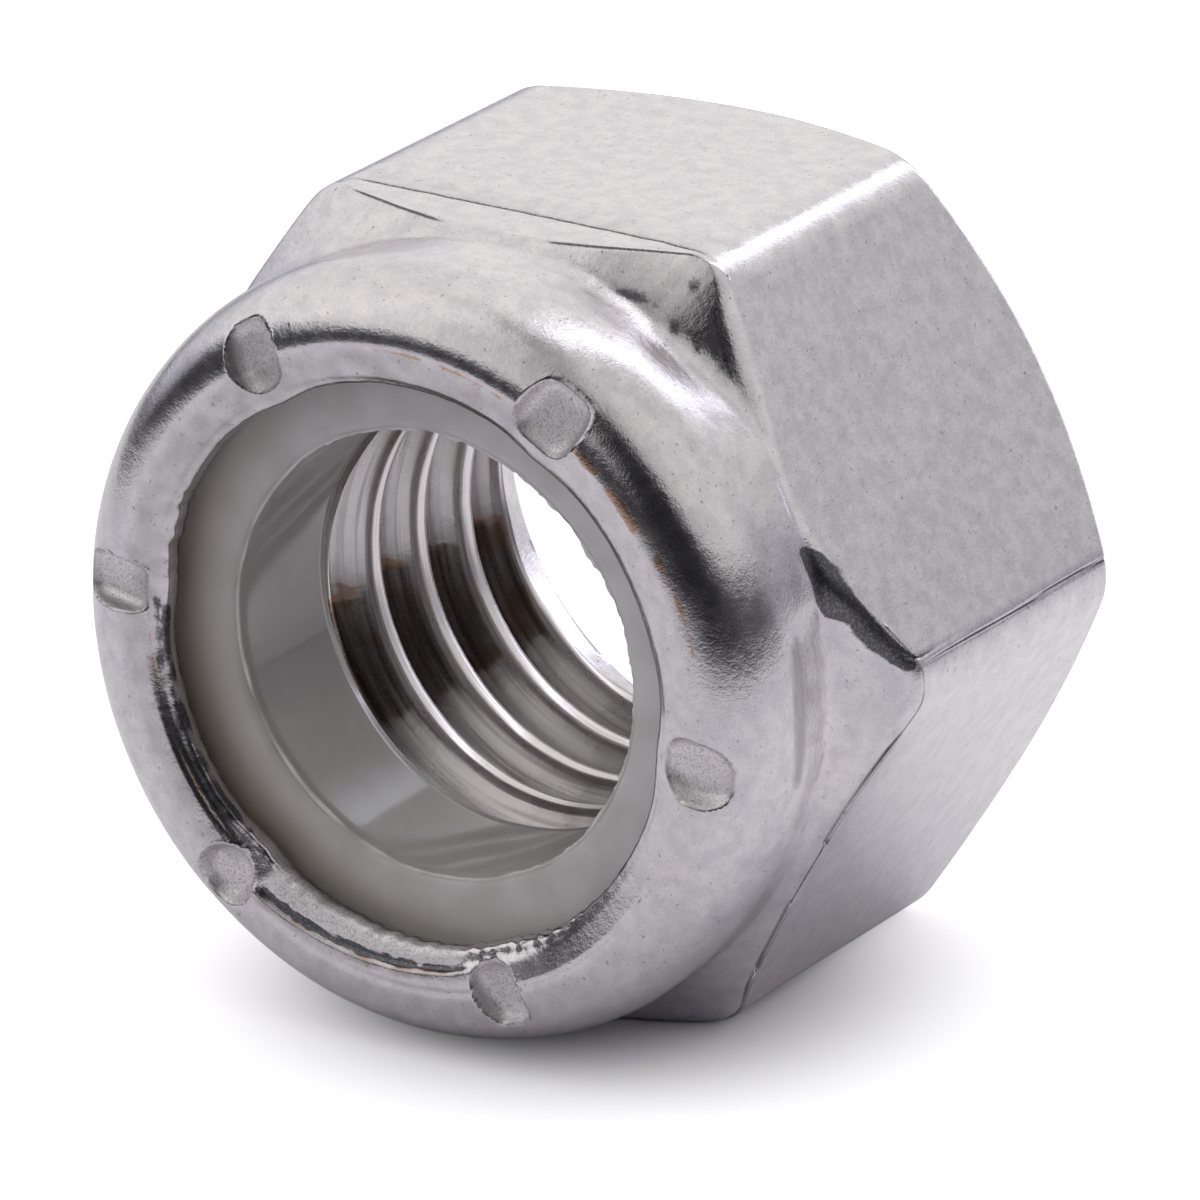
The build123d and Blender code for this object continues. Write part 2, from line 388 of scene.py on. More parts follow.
# what stands round the object: azimuth, top of the skyline, level below it, level above it
# and softness of the skyline
SURROUNDINGS = (
    (-180, 14, 0.7, 0.98, 8), (-165, 10, 0.75, 1.03, 8), (-150, 6, 0.7, 1.08, 8),
    (-138, 8, 0.6, 1.0, 8), (-105, 12, 0.72, 1.0, 6), (-84, 15, 0.50, 1.06, 4),
    (-71, 17, 0.05, 1.08, 3), (-55, 16, 0.05, 1.12, 3), (-40, 9, 0.05, 1.0, 3),
    (-22, 9, 0.04, 0.80, 4), (2, 15, 0.03, 0.62, 4), (12, 38, 0.02, 0.54, 4),
    (20, 58, 0.02, 0.50, 4), (30, 67, 0.02, 0.5, 4), (39, 61, 0.02, 0.5, 3),
    (50, 45, 0.02, 0.55, 3), (62, 32, 0.03, 0.65, 3), (75, 22, 0.05, 0.72, 3),
    (95, 17, 0.08, 0.80, 3), (115, 14, 0.12, 0.88, 4), (135, 12, 0.4, 0.76, 8),
    (155, 14, 0.55, 0.83, 9), (180, 14, 0.7, 0.98, 8),
)
LIGHT_SCALE = 3.0
ZENITH_LEVEL = 0.4
ZENITH_EDGE = (74, 86)
SKYLINE_COLOUR = (0.93, 0.95, 1.06, 1)
SKY_COLOUR = (1.0, 0.995, 0.975, 1)

# camera, measured from the picture's perspective
CAMERA_AZIMUTH = 33.094
CAMERA_ELEVATION = 20.642
CAMERA_ROLL = -0.986
CAMERA_DISTANCE = 276.56
CAMERA_AIM = (0.551, 0.106, 8.962)
CAMERA_LENS = 354.36
CAMERA_SENSOR = 36


def smooth_step(value, start, end):
    """Rise from 0 at start to 1 at end, with soft ends."""
    share = np.clip((value - start) / (end - start), 0, 1)
    return share * share * (3 - 2 * share)


def smooth_min(first, second, width):
    """Smaller of two values, blended where they differ by less than the width."""
    blend = np.clip(width - np.abs(first - second), 0, None) / width
    return np.minimum(first, second) - blend * blend * width / 4


def bell(distance, width):
    """Bell curve of height 1 and the given half width."""
    return np.exp(-((distance / width) ** 2))


def turn_between(angles, centre):
    """Signed turn in degrees from a centre angle, between -180 and 180."""
    return (angles - centre + 180) % 360 - 180


def around(table, angles, column=1):
    """Value of a table of (angle, value, ...) rows at each angle, joined up after a turn."""
    rows = sorted((row[0] % 360, row[column]) for row in table)
    return np.interp(angles % 360, *zip(*rows), period=360)


def noise_field(places, name):
    """Smooth noise between about -1 and 1 at each place, from the named field."""
    size, seed = NOISES[name]
    offset = Vector((seed * 17.3, seed * -9.1, seed * 5.7))
    flat = places.reshape(-1, 3) / size
    values = [noise.noise(Vector(place) + offset) for place in flat]
    return np.array(values).reshape(places.shape[:-1])


def bezier(points, count):
    """Points along a Bezier curve, without its first point."""
    share = np.linspace(0, 1, count + 1)[1:, None]
    layer = [np.array(point, dtype=float)[None, :] for point in points]
    while len(layer) > 1:
        layer = [a * (1 - share) + b * share for a, b in zip(layer[:-1], layer[1:])]
    return layer[0]


def place_of(radius, height, angle):
    """Places in millimetres, with X and Z measured from the nut's axis."""
    radius, height, turn = np.broadcast_arrays(radius, height, np.radians(angle))
    return np.stack([radius * np.cos(turn), -height, radius * np.sin(turn)], axis=-1)


def hexagon_radius(angles):
    """Distance from the axis to the rounded hexagon at each angle."""
    flat = ACROSS_FLATS / 2
    half = np.radians(30)
    from_corner = np.abs((np.radians(angles) + half) % (2 * half) - half)
    centre = (flat - CORNER_EDGE_RADIUS) / np.cos(half)
    tangent = np.arctan2(
        CORNER_EDGE_RADIUS * np.sin(half), centre + CORNER_EDGE_RADIUS * np.cos(half)
    )
    side = flat / np.cos(half - from_corner)
    inside = np.clip(CORNER_EDGE_RADIUS**2 - (centre * np.sin(from_corner)) ** 2, 0, None)
    rounded = centre * np.cos(from_corner) + np.sqrt(inside)
    return np.where(from_corner < tangent, rounded, side)


def rolled_edge(flat, cone, length, start_slope, share):
    """Radius across an edge where the flat ends in a crease and then curves into the cone."""
    end_slope = 1 / SHOULDER_SLOPE
    before = (end_slope - start_slope) * length / (2 * end_slope)
    along = before - (cone - flat) / end_slope
    drop = start_slope * along + (end_slope - start_slope) * along**2 / (2 * length)
    rolled = np.where(along <= 0, flat, np.where(along < length, flat - drop, cone))
    sharp = np.minimum(flat, cone)
    return sharp + (rolled - sharp) * share


def column_angles():
    """Angles of the columns, closer together across the stake marks and the burr."""
    fine = np.linspace(0, 360, 20 * OUTER_COLUMNS + 1)
    density = np.ones_like(fine)
    for angle, amount, width in DENSE_COLUMNS:
        density += amount * bell(turn_between(fine, angle), width)
    total = np.concatenate([[0], np.cumsum((density[1:] + density[:-1]) / 2)])
    return np.interp(np.arange(OUTER_COLUMNS), total / total[-1] * OUTER_COLUMNS, fine)


# slopes of both cones, and where the bearing chamfer and the root fillet start and end
BEARING_SLOPE = np.tan(np.radians(BEARING_CHAMFER_ANGLE))
CHAMFER_START = FACE_EDGE_ROUNDING * np.sin(np.radians(BEARING_CHAMFER_ANGLE))
SHOULDER_SLOPE = np.tan(np.radians(SHOULDER_ANGLE))
ROOT_TANGENT = ROOT_FILLET_RADIUS * np.tan(np.radians(90 - SHOULDER_ANGLE) / 2)
ROOT_HEIGHT = SHOULDER_HEIGHT + (SHOULDER_RADIUS - WAIST_RADIUS) * SHOULDER_SLOPE
FILLET_START_HEIGHT = ROOT_HEIGHT - ROOT_TANGENT * np.sin(np.radians(SHOULDER_ANGLE))
FILLET_END_HEIGHT = ROOT_HEIGHT + ROOT_TANGENT
FILLET_START_RADIUS = WAIST_RADIUS + ROOT_TANGENT * np.cos(np.radians(SHOULDER_ANGLE))
FILLET_CENTRE_RADIUS = WAIST_RADIUS + ROOT_FILLET_RADIUS


def turned_radius(heights, waist_radius):
    """Radius of the shoulder's cone, the root fillet and the waist at each height."""
    cone = SHOULDER_RADIUS - (heights - SHOULDER_HEIGHT) / SHOULDER_SLOPE
    below_end = np.clip(FILLET_END_HEIGHT - heights, 0, ROOT_FILLET_RADIUS)
    fillet = FILLET_CENTRE_RADIUS - np.sqrt(ROOT_FILLET_RADIUS**2 - below_end**2)
    waist = waist_radius + (COLLAR_RADIUS - waist_radius) * smooth_step(
        heights, FILLET_END_HEIGHT - 0.3, COLLAR_WIDEST_HEIGHT
    )
    lower = np.where(heights < FILLET_START_HEIGHT, cone, fillet)
    return -smooth_min(-lower, -waist, WAIST_BLEND)


def shoulder_line(hexagon):
    """Height at which the turned shoulder meets the hexagon."""
    on_cone = SHOULDER_HEIGHT - (hexagon - SHOULDER_RADIUS) * SHOULDER_SLOPE
    across = np.clip(FILLET_CENTRE_RADIUS - hexagon, 0, ROOT_FILLET_RADIUS)
    on_fillet = FILLET_END_HEIGHT - np.sqrt(ROOT_FILLET_RADIUS**2 - across**2)
    return np.where(hexagon > FILLET_START_RADIUS, on_cone, on_fillet)


def shoulder_rise(angles):
    """Rise of the corners' shoulder at each angle, averaged over a small turn."""
    return sum(around(SHOULDER_RISE, angles + turn) for turn in RISE_BLEND) / len(RISE_BLEND)


def fold_height(angles):
    """Height of the folded line, kept below the shoulder's rolled edge."""
    shoulder = shoulder_line(hexagon_radius(angles)) + shoulder_rise(angles)
    start_slope = around(SHOULDER_ROLL, angles, 2)
    below = (1 - start_slope * SHOULDER_SLOPE) * around(SHOULDER_ROLL, angles) / 2
    return np.minimum(around(FOLD_LINE, angles), shoulder - below - FOLD_BELOW_SHOULDER)


def bearing_rows():
    """Rows of the bearing face, from the hole's rim to the start of the chamfer."""
    face_edge = (BEARING_FACE_RADIUS - FACE_EDGE_ROUNDING, 0.0)
    chamfer = (BEARING_FACE_RADIUS + CHAMFER_START / BEARING_SLOPE, CHAMFER_START)
    rim = [(COUNTERSINK_RADIUS + 0.02, 0.015), (COUNTERSINK_RADIUS + 0.08, 0.0), (7.9, 0.0)]
    rounded = bezier((face_edge, (BEARING_FACE_RADIUS, 0.0), chamfer), 4)
    return rim + [face_edge] + [tuple(point) for point in rounded]


def between(first, last, shares):
    """Heights at shares of the way from the first to the last."""
    return [first + (last - first) * share for share in shares]


def side_heights(chamfer, fold, shoulder, below, above):
    """Heights of the rows from the bearing chamfer to the collar's widest place."""
    chamfer_end = CHAMFER_ROWS[-1]
    heights = between(CHAMFER_START, chamfer - chamfer_end, (0.5, 1))
    heights += [chamfer + step for step in CHAMFER_ROWS]
    heights += between(chamfer + chamfer_end, fold, np.arange(1, 7) / 7)
    heights += [fold + step for step in FOLD_ROWS]
    heights += between(heights[-1], shoulder - below, (0.5, 1.0))
    heights += [shoulder - below * share for share in ROLL_ROWS_BELOW]
    heights += [shoulder + above * share for share in ROLL_ROWS_ABOVE]
    heights += between(heights[-1], ROOT_TOP, np.arange(1, 8) / 7)
    return heights + [height * np.ones_like(fold) for height in COLLAR_ROWS]


def side_rows(angles):
    """Radius and height of the rows from the bearing chamfer to the collar's widest place."""
    hexagon = hexagon_radius(angles)
    chamfer = (hexagon - BEARING_FACE_RADIUS) * BEARING_SLOPE
    rise = shoulder_rise(angles)
    shoulder = shoulder_line(hexagon) + rise
    roll = around(SHOULDER_ROLL, angles)
    start_slope = around(SHOULDER_ROLL, angles, 2)
    below = (1 - start_slope * SHOULDER_SLOPE) * roll / 2 + 0.05
    above = roll - below + 0.1
    waist = around(WAIST, angles)
    rows = []
    for height in side_heights(chamfer, fold_height(angles), shoulder, below, above):
        bearing = BEARING_FACE_RADIUS + height / BEARING_SLOPE
        outline = smooth_min(hexagon, bearing, EDGE_ROUNDING)
        fallen = 1 - smooth_step(height, shoulder, RISE_TOP)
        lifted = turned_radius(height - rise * fallen, waist)
        share = 1 - smooth_step(height, shoulder + 0.5 * above, shoulder + 1.5 * above)
        rows.append((rolled_edge(outline, lifted, roll, start_slope, share), height))
    return rows


def outer_grid(angles):
    """Radius and height of every row of the nut's outside, from the hole's rim to the seat."""
    collar = []
    start = (COLLAR_RADIUS, COLLAR_WIDEST_HEIGHT)
    for count, *points in COLLAR_CURVES:
        collar += list(bezier((start, *points), count))
        start = points[-1]
    even = np.ones_like(angles)
    rows = [(radius * even, height * even) for radius, height in bearing_rows()]
    rows += side_rows(angles)
    rows += [(radius * even, height * even) for radius, height in collar]
    radius, height = zip(*rows)
    return np.array(radius), np.array(height)


def grid_normals(places):
    """Outward unit normals of a grid of places that closes round along its columns."""
    along = np.roll(places, -1, axis=1) - np.roll(places, 1, axis=1)
    up = np.gradient(places, axis=0)
    normals = np.cross(along, up)
    normals /= np.linalg.norm(normals, axis=-1, keepdims=True) + 1e-12
    return normals


def fill_lip(radius, height, angles):
    """Raise the lip's face where the metal is rolled over further."""
    share = around(LIP_FILL, angles)
    edge = around(LIP_FILL, angles, 2)
    raised = LIP_FILL_HEIGHT - LIP_FILL_CURVE * (CREST_RADIUS - radius) ** 2
    on_fill = smooth_step(radius - edge, -LIP_FILL_EDGE, LIP_FILL_EDGE)
    lift = np.clip(raised - height, 0, None) * on_fill
    on_face = (height > LIP_FACE_BOTTOM) & (radius < CREST_RADIUS)
    return height + share * lift * on_face


def stake_shades(inside, reach, aside, dirt):
    """Marks of one stake mark: painted shadow and dirt on one wall, a painted dark outline along
    its edge and a pale floor.
    """
    edge = bell(inside, 0.045) * (reach < 1.3)
    shadowed_dirty_wall = np.abs(dirt) * (np.sign(dirt) * aside > 0) * (inside > -0.03)
    shadowed_dirty_wall = shadowed_dirty_wall * smooth_step(reach, 0.72, 0.92)
    floor = smooth_step(inside, -0.02, 0.02) * (1 - smooth_step(reach, 1.0, 1.15))
    return {
        "grime": np.maximum(0.25 * edge, 0.42 * shadowed_dirty_wall),
        "dull_and_shade": np.maximum(0.6 * edge, shadowed_dirty_wall),
        "pale": floor,
    }


def stake_marks(radius, height, angles):
    """Lower the crest under each stake mark and push the lip's edge inwards beside it."""
    on_collar = (height > 13.9) & (radius > LIP_RADIUS + 0.06)
    lowered = height.copy()
    moved = radius.copy()
    marks = {name: np.zeros_like(radius) for name in ("grime", "dull_and_shade", "pale")}
    for angle, half_width, inner, outer, inner_drop, outer_drop, lean, squareness, dirt in STAKES:
        turn = np.radians(turn_between(angles, angle))[None, :]
        near = (np.cos(turn) > 0.9) & on_collar
        along = (radius * np.cos(turn) - (inner + outer) / 2) / ((outer - inner) / 2)
        across = radius * np.sin(turn)
        aside = across / half_width - lean * along
        reach = (np.abs(along) ** squareness + np.abs(aside) ** squareness) ** (1 / squareness)
        wall = STAKE_WALL_RISE * np.clip(reach, 0, 2) ** STAKE_WALL_POWER
        drop = inner_drop + (outer_drop - inner_drop) * (along + 1) / 2
        floor = OVERALL_HEIGHT - drop + wall
        inside = height - floor
        pressed = smooth_min(height, floor, STAKE_EDGE_BLEND)
        rim = STAKE_RIM * bell(inside + STAKE_RIM_WIDTH, STAKE_RIM_WIDTH) * (reach < 1.4)
        lowered = np.where(near, np.minimum(lowered, pressed) + rim, lowered)
        # painted shadow and dirt on one wall of the dent and a painted dark outline, kept in the
        # grime and dull marks
        for name, share in stake_shades(inside, reach, aside, dirt).items():
            marks[name] = np.where(near, np.maximum(marks[name], share), marks[name])
        share = 1 - smooth_step(radius, LIP_RADIUS + 0.05, inner + 0.3)
        push = STAKE_PUSH * share * bell(across, STAKE_PUSH_WIDTH) * (np.cos(turn) > 0)
        moved -= np.where(height > LIP_BOTTOM, push, 0)
    return moved, lowered, marks


def stain(row, radius, height, angles, patchy, edge):
    """Strength of one entry of the stains and painted shade, along its line."""
    first, last, first_radius, last_radius, near_height, half_width, strength = row
    middle = (first + last) / 2
    turned = turn_between(angles, middle)
    from_end = (last - first) / 2 - np.abs(turned)
    along = smooth_step(from_end, 0, 3)[None, :] if last - first < 360 else 1
    near_radius = np.interp(turned, (first - middle, last - middle), (first_radius, last_radius))
    distance = np.hypot(radius - near_radius, height - near_height) + edge
    faded = smooth_step(distance, half_width * 0.6, half_width * 1.5)
    return strength * along * patchy * (1 - faded)


def painted_dark_band(strength, rows, radius, height, angles, edge):
    """Strength of one painted dark band between its lower and upper heights."""
    first, lower, upper = zip(*rows)
    turned = turn_between(angles, first[0])
    turns = [turn - first[0] for turn in first]
    low = np.interp(turned, turns, lower)
    high = np.interp(turned, turns, upper)
    inside = np.minimum(height - low, high - height) + 0.5 * edge
    ends = smooth_step(turned, turns[0] - 1, turns[0] + 0.5)
    ends = ends * (1 - smooth_step(turned, turns[-1] - 0.5, turns[-1] + 1))
    share = np.clip(0.5 + inside / BAND_EDGE, 0, 1)
    return strength * share * ends * (radius > BAND_INNER_RADIUS)


def stain_and_shade_marks(radius, height, angles):
    """Brown and dark stains, and painted shade and painted dark reflections, along the crest, the
    lip and the collar, by name.
    """
    places = place_of(radius, height, angles)
    patchy = np.clip(0.75 + 0.7 * noise_field(places, "stain and shade patches"), 0, 1)
    edge = STAIN_AND_SHADE_WANDER * noise_field(places, "stain and shade edge")
    stains = {name: np.zeros_like(radius) for name in ("tan", "grime", "dull_and_shade")}
    for name, *row in STAINS_AND_PAINTED_SHADE:
        share = stain(row, radius, height, angles, patchy, edge)
        stains[name] = np.maximum(stains[name], share)
    for name, strength, rows in PAINTED_DARK_BANDS:
        share = painted_dark_band(strength, rows, radius, height, angles, edge)
        stains[name] = np.maximum(stains[name], share)
    return stains


def thread_radius(phase, height):
    """Radius of the thread: crest, flank, root, flank, cut off by the chamfers at its ends."""
    share = np.abs((phase / THREAD_PITCH + 0.5) % 1 - 0.5)
    crest = THREAD_CREST_SHARE / 2
    root = 0.5 - THREAD_ROOT_SHARE / 2
    flank = np.clip((share - crest) / (root - crest), 0, 1)
    thread = THREAD_MINOR_RADIUS + (THREAD_MAJOR_RADIUS - THREAD_MINOR_RADIUS) * flank
    wide_slope, narrow_slope = COUNTERSINK_SLOPES
    countersink = np.minimum(
        COUNTERSINK_RADIUS - wide_slope * height,
        THREAD_MINOR_RADIUS + narrow_slope * (COUNTERSINK_DEPTH - height),
    )
    lead = THREAD_MINOR_RADIUS + THREAD_LEAD - (SEAT_FLOOR - height)
    return np.maximum(thread, np.maximum(countersink, lead))


class MeshParts:
    """Vertices and faces of a mesh while it is put together from rings of vertices."""

    def __init__(self):
        self.vertices = []
        self.faces = []
        self.marks = {name: [] for name in MARKS}

    def ring(self, places, **marks):
        """Add one ring of vertices and return their numbers."""
        start = len(self.vertices)
        self.vertices.extend(map(tuple, places))
        for name in MARKS:
            self.marks[name].extend(np.broadcast_to(marks.get(name, 0.0), len(places)))
        return list(range(start, start + len(places)))

    def strip(self, first, second):
        """Join two rings of the same count."""
        count = len(first)
        for index in range(count):
            after = (index + 1) % count
            self.face(first[index], first[after], second[after], second[index])

    def grid(self, places, marks):
        """Add a ring for each row of places, join each to the next, and return them."""
        rings = [
            self.ring(row_places, **{name: values[row] for name, values in marks.items()})
            for row, row_places in enumerate(places)
        ]
        for first, second in zip(rings, rings[1:]):
            self.strip(first, second)
        return rings

    def step_strip(self, fine, coarse, fine_first=True):
        """Join a ring to one with half as many vertices."""
        turn = 1 if fine_first else -1
        count = len(coarse)
        for index in range(count):
            after = (index + 1) % count
            left, middle = fine[2 * index], fine[2 * index + 1]
            right = fine[(2 * index + 2) % len(fine)]
            self.face(*(left, middle, coarse[index])[::turn])
            self.face(*(middle, coarse[after], coarse[index])[::turn])
            self.face(*(middle, right, coarse[after])[::turn])

    def face(self, *corners):
        """Add a face, leaving out repeated corners and faces with no area."""
        kept = [c for c, d in zip(corners, corners[1:] + corners[:1]) if c != d]
        if len(set(kept)) > 2:
            self.faces.append(tuple(kept))

    def build(self, name):
        """Make the object, in metres, with its marks as point attributes."""
        mesh = bpy.data.meshes.new(name)
        places = np.array(self.vertices) * MM + AXIS_PLACE
        places = np.clip(places, BOX_LOW + BOX_MARGIN, BOX_HIGH - BOX_MARGIN)
        mesh.from_pydata([tuple(place) for place in places], [], self.faces)
        for mark, values in self.marks.items():
            attribute = mesh.attributes.new(mark, "FLOAT", "POINT")
            attribute.data.foreach_set("value", np.array(values, dtype=np.float32))
        mesh.shade_smooth()
        mesh.update()
        piece = bpy.data.objects.new(name, mesh)
        bpy.context.scene.collection.objects.link(piece)
        return piece


def burr_line(places, radius, height, angles):
    """Ragged line of folded metal beside a corner edge, from 0 to 1."""
    ragged = 0.05 * noise_field(places, "burr") + 0.02 * noise_field(places, "burr fine")
    burr_angle = np.interp(height, *zip(*BURR_LINE))
    across = np.radians(turn_between(angles, burr_angle)) * radius + ragged
    along = (height > BURR_LINE[0][0] - 0.4) & (height < BURR_LINE[-1][0]) & (np.abs(across) < 1)
    return along * bell(across, BURR_WIDTH)


def lip_seam(radius, height, angles):
    """Torn seam of the lip and the flake inside it, from 0 to 1 each."""
    middle, reach = SEAM[:2]
    turned = turn_between(angles, middle)
    turns, radii = zip(*[(turn - middle, place) for turn, place in SEAM_ENDS])
    from_seam = radius - np.interp(turned, turns, radii)
    torn = smooth_step(reach - np.abs(turned), 0, 4)
    seam = torn * bell(from_seam, SEAM_WIDTH) * (height > LIP_FACE_BOTTOM)
    flake = torn * (1 - smooth_step(from_seam, -0.16, -0.04)) * (height > 14.4)
    return seam, flake


def surface_relief(radius, height, angles):
    """Height of the small forms above the plain surface, their dark lines and the flake."""
    places = place_of(radius, height, angles)
    outside = (height > 0.3) & (radius > LIP_CREASE_RADIUS)
    wave = noise_field(places, "wave")
    relief = RELIEF_WAVE * wave + RELIEF_PIT * noise_field(places, "pits")
    relief = np.where(outside, relief - RELIEF_WAVE, 0.0)

    angles = np.broadcast_to(angles, radius.shape)
    strength = around(FOLD_LINE, angles, 2) * (height < 12.0)
    from_fold = height - fold_height(angles) - FOLD_WANDER * noise_field(places, "fold")
    groove = strength * bell(from_fold, FOLD_WIDTH)
    relief -= FOLD_DEPTH * groove
    relief -= FOLD_STEP * strength * smooth_step(from_fold, 0.0, 0.1) * (height < 11.5)
    shoulder = shoulder_line(hexagon_radius(angles)) + shoulder_rise(angles)
    crease = around(SHOULDER_ROLL, angles, 3) * bell(height - shoulder, CREASE_WIDTH)

    burr = burr_line(places, radius, height, angles)
    relief -= BURR_DEPTH * burr
    seam, flake = lip_seam(radius, height, angles)
    seam_depth, flake_rise = SEAM[2:]
    relief += flake_rise * flake - seam_depth * seam
    lines = np.maximum(np.maximum(groove * 0.8, burr), crease)
    return relief, lines, flake


def ragged_lip(radius, height, angles):
    """Small uneven steps along the lip's edge, with torn flakes where the edge is rough."""
    places = place_of(radius, height, angles) * (1, 0, 1)
    share = (1 - smooth_step(radius, LIP_RADIUS, LIP_RADIUS + 0.35)) * (height > LIP_BOTTOM)
    angles = np.broadcast_to(angles, radius.shape)
    rough = sum(bell(turn_between(angles, place), width) for place, width in ROUGH_LIP)
    fine = (FINE_STEP + ROUGH_STEP * rough) * noise_field(places, "lip fine")
    return radius - share * (WIDE_STEP * noise_field(places, "lip") + fine)


def helix_lead(angles):
    """How far the thread has climbed at each angle of a turn."""
    return THREAD_PITCH * (angles % 360) / 360


def thread_row(parts, angles, height):
    """Add the ring of one row of the thread, with its dirt and brown stain."""
    radius = thread_radius(height - helix_lead(angles) - THREAD_PHASE, height)
    places = place_of(radius, height, angles)
    wave = THREAD_WAVE * noise_field(places, "thread")
    places += wave[:, None] * place_of(1.0, 0.0, angles)
    flank = smooth_step(radius, THREAD_MINOR_RADIUS + 0.04, THREAD_MINOR_RADIUS + 0.2)
    flank *= smooth_step(height, COUNTERSINK_DEPTH - 0.4, COUNTERSINK_DEPTH)
    first, last, brown_width = THREAD_STAIN
    dirt_strength, brown_strength = THREAD_STAIN_STRENGTH
    turned = angles + 2.5 * noise_field(places, "brown edge")
    turned += 1.5 * noise_field(places, "brown fine")
    dark = smooth_step(turned, first, first + 2) * (1 - smooth_step(turned, last, last + 7))
    patchy = np.clip(0.5 + noise_field(places, "brown patches"), 0, 1)
    brown = np.maximum(bell(turned - first - 1, brown_width) * patchy, 0.45 * dark * patchy)
    return parts.ring(places, bore=smooth_step(height, *BORE_LOOK_START),
                      grime=dirt_strength * flank * dark, tan=brown_strength * flank * brown)


def thread_rings(parts, angles, top_ring):
    """Add the thread, whose rows follow its helix, and return its ring at the rim."""
    lead = helix_lead(angles)
    spacing = THREAD_PITCH / THREAD_ROWS_PER_TURN
    low = THREAD_BOTTOM
    bottom_radius = thread_radius(low - lead - THREAD_PHASE, low + 0 * lead)
    bottom_ring = parts.ring(place_of(bottom_radius, low + 0 * lead, angles))
    highest = int(np.ceil(SEAT_FLOOR / spacing))
    lowest = int(np.floor((low - THREAD_PITCH) / spacing))
    rows = {}
    for row in range(highest, lowest - 1, -1):
        height = np.clip(row * spacing + lead, low, SEAT_FLOOR)
        ring = thread_row(parts, angles, height)
        ring = [t if h >= SEAT_FLOOR - 1e-6 else r for r, h, t in zip(ring, height, top_ring)]
        rows[row] = [b if h <= low + 1e-6 else r for r, h, b in zip(ring, height, bottom_ring)]
    final = len(angles) - 1
    for row in range(highest, lowest, -1):
        upper, lower = rows[row], rows[row - 1]
        for index in range(final):
            parts.face(upper[index], upper[index + 1], lower[index + 1], lower[index])
        next_upper = rows[min(row + THREAD_ROWS_PER_TURN, highest)][0]
        next_lower = rows[min(row - 1 + THREAD_ROWS_PER_TURN, highest)][0]
        parts.face(upper[final], next_upper, next_lower, lower[final])
    return bottom_ring


def seat_rings(parts, angles):
    """Add the rings of the ring's seat, from under the lip to the thread, and return them."""
    even = np.ones_like(angles)
    floor = SEAT_FLOOR * even
    thread = thread_radius(floor - helix_lead(angles) - THREAD_PHASE, floor)
    rows = (
        (SEAT_RADIUS, SEAT_WALL_TOP), (SEAT_RADIUS, SEAT_WALL_MIDDLE), (SEAT_RADIUS, SEAT_FLOOR),
        (SEAT_FLOOR_RADIUS, SEAT_FLOOR), (thread, SEAT_FLOOR),
    )
    return [parts.ring(place_of(radius, height * even, angles), bore=1.0)
            for radius, height in rows]


def nut_mesh():
    """Steel nut as one closed mesh: outside, rolled lip, seat of the ring and thread."""
    angles = column_angles()
    radius, height = outer_grid(angles)
    height = fill_lip(radius, height, angles)
    radius, height, marks = stake_marks(radius, height, angles)
    radius = ragged_lip(radius, height, angles)
    relief, lines, flake = surface_relief(radius, height, angles)
    stains = stain_and_shade_marks(radius, height, angles)
    marks["grime"] = np.maximum(np.maximum(lines, marks["grime"]), stains["grime"])
    marks["dull_and_shade"] = np.maximum(np.maximum(marks["dull_and_shade"], 0.4 * lines), stains["dull_and_shade"])
    marks["pale"] = np.maximum(marks["pale"], flake)
    marks["tan"] = stains["tan"]
    places = place_of(radius, height, angles)
    places += grid_normals(places) * relief[..., None]

    parts = MeshParts()
    rings = parts.grid(places, marks)
    bore_angles = angles[::BORE_STEP]
    seat = seat_rings(parts, bore_angles)
    parts.step_strip(rings[-1], seat[0])
    for first, second in zip(seat[:-1], seat[1:]):
        parts.strip(first, second)
    rim = thread_rings(parts, bore_angles, seat[-1])
    parts.step_strip(rings[0], rim, fine_first=False)
    return parts.build("nut_steel")


def nylon_outline():
    """Radius and height of the nylon ring's rows, up its bore and back down its outside."""
    gap = NYLON_CLEARANCE
    bore = NYLON_BORE_RADIUS
    face = NYLON_FACE_HEIGHT
    floor = SEAT_FLOOR + gap
    bore_top = ((bore, face - 0.4), (bore, face - 0.04), (bore + 0.3, face + 0.02))
    top = ((bore + 0.3, face + 0.02), (6.3, 13.84), (LIP_RADIUS + 0.05, 13.9))
    wall = SEAT_RADIUS - gap
    points = [(bore, floor + step) for step in np.linspace(0, 3.2, 14)]
    points += [tuple(point) for point in bezier(bore_top, 16)]
    points += [tuple(point) for point in bezier(top, 12)]
    points += [(7.5, 13.98), (wall, SEAT_WALL_TOP - gap), (wall, SEAT_WALL_MIDDLE)]
    return points + [(wall, floor), (7.0, floor), (6.0, floor)]


